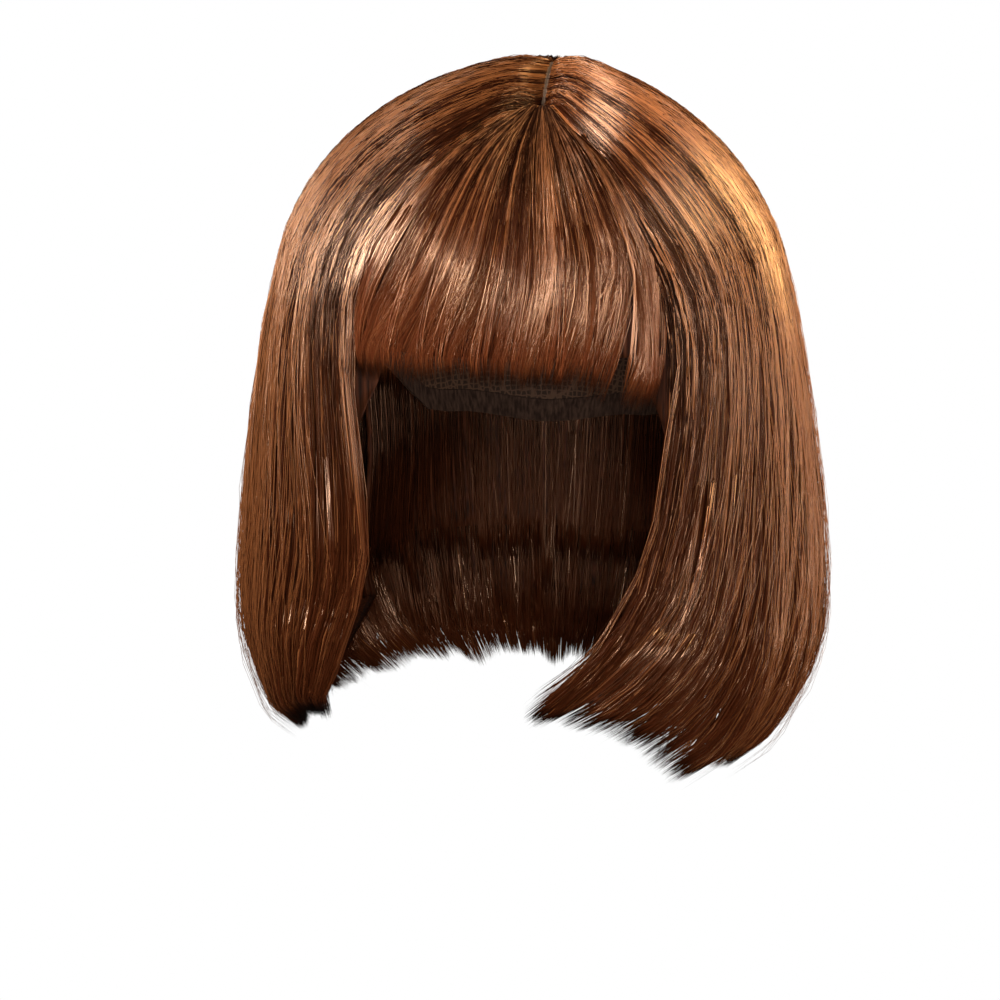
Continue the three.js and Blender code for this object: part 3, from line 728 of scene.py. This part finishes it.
def hair_material(name, dark, middle, light, tip, roughness=0.23, root_roughness=0.23):
    material, tree, shader = new_material(name)
    shade = tree.nodes.new("ShaderNodeGroup")
    shade.node_tree = hair_shade_group()
    for socket, colour in (("Dark", dark), ("Middle", middle), ("Light", light), ("Tip", tip)):
        shade.inputs[socket].default_value = (*colour, 1)
    tree.links.new(shade.outputs["Color"], shader.inputs["Base Color"])
    tone, along = strand_tone(tree)
    polish = mapped(tree, along, 0.1, 0.45, root_roughness, roughness)
    tree.links.new(polish, shader.inputs["Roughness"])
    shine = mixed(tree, mapped(tree, tone, 0.2, 0.8), DULL_SHINE, BRIGHT_SHINE)
    tree.links.new(shine, shader.inputs["Specular Tint"])
    shader.inputs["IOR"].default_value = 2.1
    shader.inputs["Specular IOR Level"].default_value = 1
    return material


def streaked_material(name, dark, light, scale, roughness):
    """Matt material with streaks that run down the hair."""
    material, tree, shader = new_material(name)
    nodes, links = tree.nodes, tree.links
    place = nodes.new("ShaderNodeTexCoord")
    stretch = nodes.new("ShaderNodeMapping")
    stretch.inputs["Scale"].default_value = (scale, scale, scale / 30)
    noise = nodes.new("ShaderNodeTexNoise")
    noise.inputs["Scale"].default_value = 1
    noise.inputs["Detail"].default_value = 3
    ramp = nodes.new("ShaderNodeValToRGB")
    ramp.color_ramp.elements[0].position = 0.35
    ramp.color_ramp.elements[0].color = (*dark, 1)
    ramp.color_ramp.elements[1].position = 0.7
    ramp.color_ramp.elements[1].color = (*light, 1)
    bump = nodes.new("ShaderNodeBump")
    bump.inputs["Strength"].default_value = 0.5
    bump.inputs["Distance"].default_value = 0.4 * MM
    links.new(place.outputs["Object"], stretch.inputs["Vector"])
    links.new(stretch.outputs[0], noise.inputs["Vector"])
    links.new(noise.outputs["Fac"], ramp.inputs["Fac"])
    links.new(ramp.outputs["Color"], shader.inputs["Base Color"])
    links.new(noise.outputs["Fac"], bump.inputs["Height"])
    links.new(bump.outputs["Normal"], shader.inputs["Normal"])
    shader.inputs["Roughness"].default_value = roughness
    shader.inputs["Specular IOR Level"].default_value = 0.04
    return material


def cell_material(name, dark, light, cell, roughness, edge=0.06):
    """Material of a fine net or knotted ground, with cells of one size."""
    material, tree, shader = new_material(name)
    nodes, links = tree.nodes, tree.links
    place = nodes.new("ShaderNodeTexCoord")
    cells = nodes.new("ShaderNodeTexVoronoi")
    cells.feature = "DISTANCE_TO_EDGE"
    cells.inputs["Scale"].default_value = 1 / cell
    cells.inputs["Randomness"].default_value = 0.35
    ramp = nodes.new("ShaderNodeValToRGB")
    ramp.color_ramp.elements[0].position = edge
    ramp.color_ramp.elements[0].color = (*light, 1)
    ramp.color_ramp.elements[1].position = edge + 0.12
    ramp.color_ramp.elements[1].color = (*dark, 1)
    bump = nodes.new("ShaderNodeBump")
    bump.invert = True
    bump.inputs["Strength"].default_value = 0.6
    bump.inputs["Distance"].default_value = 0.25 * MM
    links.new(place.outputs["Object"], cells.inputs["Vector"])
    links.new(cells.outputs["Distance"], ramp.inputs["Fac"])
    links.new(ramp.outputs["Color"], shader.inputs["Base Color"])
    links.new(cells.outputs["Distance"], bump.inputs["Height"])
    links.new(bump.outputs["Normal"], shader.inputs["Normal"])
    shader.inputs["Roughness"].default_value = roughness
    shader.inputs["Specular IOR Level"].default_value = 0.1
    return material


# Modelling helpers


def deselect_all():
    if bpy.context.mode != "OBJECT":
        bpy.ops.object.mode_set(mode="OBJECT")
    bpy.ops.object.select_all(action="DESELECT")


def copy_of_node(node, name):
    """Copy of a node of the frame with its faces joined, selected and active."""
    deselect_all()
    piece = bpy.data.objects.new(name, frame["nodes"][node].data.copy())
    piece.data.name = name
    bpy.context.scene.collection.objects.link(piece)
    piece.select_set(True)
    bpy.context.view_layer.objects.active = piece
    bpy.ops.object.mode_set(mode="EDIT")
    bpy.ops.mesh.select_all(action="SELECT")
    bpy.ops.mesh.remove_doubles(threshold=0.02 * MM)
    bpy.ops.object.mode_set(mode="OBJECT")
    return piece


def subdivide(piece, levels):
    modifier = piece.modifiers.new("rounding", "SUBSURF")
    modifier.levels = levels
    modifier.render_levels = levels
    bpy.ops.object.modifier_apply(modifier=modifier.name)
    bpy.ops.object.shade_smooth()


def select_high(piece, level):
    """Selects the vertices above a height, and enters edit mode."""
    bpy.ops.object.mode_set(mode="EDIT")
    bpy.ops.mesh.select_mode(type="VERT")
    bpy.ops.mesh.select_all(action="DESELECT")
    bpy.ops.object.mode_set(mode="OBJECT")
    for vertex in piece.data.vertices:
        vertex.select = vertex.co.z > level
    bpy.ops.object.mode_set(mode="EDIT")


def light_panel(name, place, target, size, power, colour):
    light = bpy.data.lights.new(name, "AREA")
    light.shape = "RECTANGLE"
    light.size, light.size_y = size
    light.energy = power
    light.color = colour
    lamp = bpy.data.objects.new(name, light)
    bpy.context.scene.collection.objects.link(lamp)
    lamp.location = place
    lamp.rotation_euler = (Vector(target) - Vector(place)).to_track_quat("-Z", "Y").to_euler()
    return lamp


# Settings that a user would change


class WigHairSettings(bpy.types.PropertyGroup):
    strand_width: bpy.props.FloatProperty(
        name="Strand width", description="Width of one strand", default=0.27 * MM, unit="LENGTH")
    side_count: bpy.props.IntProperty(name="Side strands", description="Strands on each side", default=1750)
    back_count: bpy.props.IntProperty(name="Back strands", description="Strands on the back", default=1350)
    fringe_count: bpy.props.IntProperty(
        name="Fringe strands", description="Strands of the fringe", default=2250)
    dark: bpy.props.FloatVectorProperty(
        name="Dark", description="Colour of the darkest strands", subtype="COLOR",
        default=(0.008, 0.0022, 0.0009))
    middle: bpy.props.FloatVectorProperty(
        name="Middle", description="Colour of most strands", subtype="COLOR",
        default=(0.066, 0.0145, 0.004))
    light: bpy.props.FloatVectorProperty(
        name="Light", description="Colour of the lightest strands", subtype="COLOR",
        default=(0.42, 0.14, 0.04))
    # Copper towards the fringe's tips is a painted glow of light shining through the hair
    copper_glow: bpy.props.FloatVectorProperty(
        name="Copper", description="Colour towards the fringe's tips", subtype="COLOR",
        default=(0.25, 0.058, 0.018))


class WigCapSettings(bpy.types.PropertyGroup):
    net: bpy.props.FloatVectorProperty(
        name="Net", description="Colour of the net", subtype="COLOR",
        default=(0.07, 0.035, 0.02))
    cell: bpy.props.FloatProperty(
        name="Net cell", description="Size of a cell of the net", default=2.2 * MM, unit="LENGTH")
    skin: bpy.props.FloatVectorProperty(
        name="Parting", description="Colour of the parting strip", subtype="COLOR",
        default=(0.56, 0.36, 0.24))


class WigStageSettings(bpy.types.PropertyGroup):
    world_strength: bpy.props.FloatProperty(
        name="Surroundings", description="Strength of the light from all round", default=0.03)
    key_power: bpy.props.FloatProperty(
        name="Key light", description="Power of the high light on the wearer's right",
        default=27, unit="POWER")
    front_power: bpy.props.FloatProperty(
        name="Front light", description="Power of the light that shines on the fringe",
        default=14.5, unit="POWER")
    side_power: bpy.props.FloatProperty(
        name="Side light", description="Power of the light on the wearer's left",
        default=6.5, unit="POWER")
    rim_power: bpy.props.FloatProperty(
        name="Rim light", description="Power of the golden light high behind the wearer's left",
        default=15, unit="POWER")
    fill_power: bpy.props.FloatProperty(
        name="Fill light", description="Power of the low light on the wearer's left",
        default=11.5, unit="POWER")
    back_power: bpy.props.FloatProperty(
        name="Back light", description="Power of the light that shines on the back",
        default=5, unit="POWER")
    crown_power: bpy.props.FloatProperty(
        name="Crown light", description="Power of the small light close over the parting",
        default=0.3, unit="POWER")


# Operators, one for each piece or group of like pieces


class WIG_OT_cap(bpy.types.Operator):
    """Add the net cap"""

    bl_idname = "wig.add_cap"
    bl_label = "Cap"

    def execute(self, context):
        settings = context.scene.wig_cap
        piece = copy_of_node("cap", "cap_net")
        subdivide(piece, 1)
        dark = tuple(0.35 * c for c in settings.net)
        finish_piece(piece, "cap", cell_material("net", dark, settings.net, settings.cell, 0.75))
        return {"FINISHED"}


class WIG_OT_band(bpy.types.Operator):
    """Add the elastic band inside the cap's edge"""

    bl_idname = "wig.add_band"
    bl_label = "Elastic band"

    def execute(self, context):
        piece = copy_of_node("edge_band", "elastic_band")
        bpy.ops.object.shade_smooth_by_angle(angle=math.radians(40))
        material = streaked_material("elastic", ELASTIC_DARK, ELASTIC_LIGHT, 900, 0.8)
        finish_piece(piece, "edge_band", material)
        return {"FINISHED"}


class WIG_OT_parting(bpy.types.Operator):
    """Add the skin-coloured strip in the parting"""

    bl_idname = "wig.add_parting"
    bl_label = "Parting"

    def execute(self, context):
        settings = context.scene.wig_cap
        piece = copy_of_node("parting_strip", "parting_skin")
        bpy.ops.object.shade_smooth_by_angle(angle=math.radians(40))
        knots = tuple(0.45 * c for c in settings.skin)
        material = cell_material("parting", settings.skin, knots, 1.3 * MM, 0.6, edge=0.03)
        finish_piece(piece, "parting_strip", material)
        return {"FINISHED"}


class WIG_OT_backing(bpy.types.Operator):
    """Add the dense hair under the strands, darkened as painted shade in the gaps between them"""

    bl_idname = "wig.add_backing"
    bl_label = "Under-hair"

    def execute(self, context):
        # Painted shade: the under-hair is coloured darker than the strands so the gaps between them read as
        # shadow
        material = streaked_material("under_hair", UNDER_HAIR_SHADED_DARK, UNDER_HAIR_SHADED_LIGHT, 700, 0.55)
        for node, (thinner, level) in UNDER_HAIR.items():
            piece = copy_of_node(node, node + "_under")
            subdivide(piece, 1)
            bpy.ops.object.mode_set(mode="EDIT")
            bpy.ops.mesh.select_all(action="SELECT")
            bpy.ops.transform.shrink_fatten(value=-thinner)
            narrower = (UNDER_HAIR_NARROWER, UNDER_HAIR_NARROWER, 1)
            bpy.ops.transform.resize(value=narrower, center_override=(0, 0, 0))
            bpy.ops.mesh.bisect(plane_co=(0, 0, level), plane_no=(0, 0, 1), clear_inner=True, use_fill=True)
            select_high(piece, 0)
            bpy.ops.transform.translate(value=(0, 0, -UNDER_HAIR_CROWN_SINK))
            bpy.ops.object.mode_set(mode="OBJECT")
            finish_piece(piece, node, material)
        return {"FINISHED"}


def side_hair(settings):
    return bpy.data.materials.get("glossy_hair") or hair_material(
        "glossy_hair", settings.dark, settings.middle, settings.light, settings.middle)


def fringe_hair(settings):
    # The copper tips are a painted glow of light shining through the fringe
    return hair_material("fringe_hair", settings.dark, settings.middle, settings.light, settings.copper_glow,
                         root_roughness=0.5)


class WIG_OT_fringe(bpy.types.Operator):
    """Add the strands of the fringe"""

    bl_idname = "wig.add_fringe"
    bl_label = "Fringe"

    def execute(self, context):
        settings = context.scene.wig_hair
        rng = np.random.default_rng(11)
        section = fringe_section()
        points, place = wisp_strands(section, settings.fringe_count, 90, rng, shares=(-0.02, 1.03),
                                     pull=(0.0, 0.35), layers=1.4 * MM, ragged=1.8 * MM, lean=-0.1,
                                     drift=0.008)
        widths = strand_widths(rng, len(place), settings.strand_width * 0.9)
        spots, along = evened(points, 13, rng)
        groups = [(spots, along, widths, strand_tones(rng, place, middle=0.44, streaks=0.2))]
        points, place = wisp_strands(section, 500, 60, rng, shares=(0.0, 1.02), pull=(0, 0.2), layers=4 * MM,
                                     ragged=1.2 * MM, lean=-0.06, ripple=0)
        groups.append(strand_group(rng, points, place, 6, 0.5 * MM, begin=0.5, middle=0.3))
        strays, place = wisp_strands(section, 60, 30, rng, ragged=5 * MM, lean=-0.1, cross=0.06,
                                     out=0.8 * MM)
        groups.append(stray_group(rng, strays, 14, 0.7))
        strand_piece("fringe_strands", "fringe", groups, fringe_hair(settings))
        return {"FINISHED"}


class WIG_OT_sides(bpy.types.Operator):
    """Add the strands of both sides"""

    bl_idname = "wig.add_sides"
    bl_label = "Sides"

    def execute(self, context):
        settings = context.scene.wig_hair
        for node, hand, seed, lean in (("side_hair_left", 1, 21, -0.05), ("side_hair_right", -1, 22, 0.03)):
            rng = np.random.default_rng(seed)
            section = side_section(node, hand)
            points, place = wisp_strands(section, settings.side_count, 150, rng, shares=(-0.005, 1.01),
                                         lean=lean, pull=(0.15, 0.65), ragged=1.8 * MM, ripple=1.2 * MM,
                                         drift=0.015)
            groups = [strand_group(rng, points, place, 17, settings.strand_width * 1.05)]
            points, place = wisp_strands(section, 170, 30, rng, shares=(-0.008, 0.03),
                                         into_wall=(0.05, 0.95), lean=lean, ripple=0)
            groups.append(strand_group(rng, points, place, 12, 0.45 * MM, begin=0.1, middle=0.35))
            strays, place = wisp_strands(section, 170, 60, rng, shares=(0.14, 0.98), ragged=5 * MM,
                                         cross=0.11, out=1.8 * MM, layers=0)
            groups.append(stray_group(rng, strays, 15, 0.8))
            strand_piece(node + "_strands", node, groups, side_hair(settings))

            lined = sorted((hand * 44, hand * 127))
            groups = wall_groups(section, rng, 1150, 0.7 * MM, 0.22, azimuths=lined, top=-0.09, lining=520,
                                 lean=lean)
            strand_piece(node + "_inner_strands", node, groups, side_hair(settings))
        return {"FINISHED"}


class WIG_OT_back(bpy.types.Operator):
    """Add the strands of the back and the nape"""

    bl_idname = "wig.add_back"
    bl_label = "Back"

    def execute(self, context):
        settings = context.scene.wig_hair
        rng = np.random.default_rng(31)
        section = back_section()
        points, place = wisp_strands(section, settings.back_count, 120, rng, shares=(-0.02, 1.02),
                                     pull=(0.1, 0.55), ragged=1.8 * MM, ripple=1.2 * MM, drift=0.012)
        groups = [strand_group(rng, points, place, 16, settings.strand_width * 1.25)]
        strays, place = wisp_strands(section, 80, 40, rng, ragged=5 * MM, cross=0.03, out=1 * MM)
        groups.append(stray_group(rng, strays, 14, 0.7))
        strand_piece("back_strands", "back_hair", groups, side_hair(settings))

        groups = wall_groups(section, rng, 1000, 0.75 * MM, 0.2, azimuths=(127, 233), top=-0.165, lining=500)
        strand_piece("back_inner_strands", "back_hair", groups, side_hair(settings))

        bottom = section_bottom("nape_hair") + 1 * MM
        lining = lining_strands("nape_hair", (119, 241), -0.118, bottom, 750, rng)
        # The nape lining's low middle tone is painted shade of the wig's inside
        groups = [shaded_lining_group(rng, lining, 8, 0.65 * MM, middle=0.08, streaks=0.08)]
        strand_piece("nape_strands", "nape_hair", groups, side_hair(settings))
        return {"FINISHED"}


class WIG_OT_stage(bpy.types.Operator):
    """Add the white surroundings, the lights and the camera"""

    bl_idname = "wig.add_stage"
    bl_label = "Stage"

    def execute(self, context):
        settings = context.scene.wig_stage
        scene = context.scene
        world = bpy.data.worlds.new("studio")
        world.use_nodes = True
        nodes, links = world.node_tree.nodes, world.node_tree.links
        nodes["Background"].inputs["Color"].default_value = (*WHITE, 1)
        path = nodes.new("ShaderNodeLightPath")
        strength = nodes.new("ShaderNodeMapRange")
        strength.inputs["To Min"].default_value = settings.world_strength
        links.new(path.outputs["Is Camera Ray"], strength.inputs["Value"])
        links.new(strength.outputs["Result"], nodes["Background"].inputs["Strength"])
        scene.world = world
        for name, (place, size, colour) in LIGHTS.items():
            light_panel(name, place, WIG_MIDDLE, size, getattr(settings, name + "_power"), colour)
        crown = light_panel("crown", CROWN_LIGHT_AT, CROWN_LIGHT_TO, CROWN_LIGHT_SIZE, settings.crown_power,
                            WHITE)
        crown.visible_camera = False
        lit = bpy.data.collections.new("lit by the crown light")
        for piece in scene.objects:
            if piece.name.startswith("side_hair_left"):
                lit.objects.link(piece)
        crown.light_linking.receiver_collection = lit
        scene.view_settings.view_transform = "Standard"

        camera = bpy.data.cameras.new("camera")
        camera.lens = CAMERA_LENS
        camera.sensor_width = 36
        camera.dof.use_dof = False
        eye = bpy.data.objects.new("camera", camera)
        scene.collection.objects.link(eye)
        eye.location = CAMERA_AT
        eye.rotation_euler = (Vector(CAMERA_TO) - Vector(CAMERA_AT)).to_track_quat("-Z", "Y").to_euler()
        scene.camera = eye
        return {"FINISHED"}


OPERATORS = (WIG_OT_cap, WIG_OT_band, WIG_OT_parting, WIG_OT_backing, WIG_OT_fringe, WIG_OT_sides,
             WIG_OT_back, WIG_OT_stage)


class WIG_PT_panel(bpy.types.Panel):
    """Panel that lists the pieces and their settings"""

    bl_idname = "WIG_PT_panel"
    bl_label = "Wig"
    bl_space_type = "VIEW_3D"
    bl_region_type = "UI"
    bl_category = "Wig"

    def draw(self, context):
        for group in (context.scene.wig_hair, context.scene.wig_cap, context.scene.wig_stage):
            for name in group.bl_rna.properties.keys():
                if name not in ("rna_type", "name"):
                    self.layout.prop(group, name)
        for operator in OPERATORS:
            self.layout.operator(operator.bl_idname)


CLASSES = (WigHairSettings, WigCapSettings, WigStageSettings, *OPERATORS, WIG_PT_panel)


def register():
    for cls in CLASSES:
        bpy.utils.register_class(cls)
    bpy.types.Scene.wig_hair = bpy.props.PointerProperty(type=WigHairSettings)
    bpy.types.Scene.wig_cap = bpy.props.PointerProperty(type=WigCapSettings)
    bpy.types.Scene.wig_stage = bpy.props.PointerProperty(type=WigStageSettings)


def unregister():
    del bpy.types.Scene.wig_stage
    del bpy.types.Scene.wig_cap
    del bpy.types.Scene.wig_hair
    for cls in reversed(CLASSES):
        bpy.utils.unregister_class(cls)


def main():
    register()
    for operator in OPERATORS:
        group, name = operator.bl_idname.split(".")
        getattr(getattr(bpy.ops, group), name)()


if __name__ == "__main__":
    main()
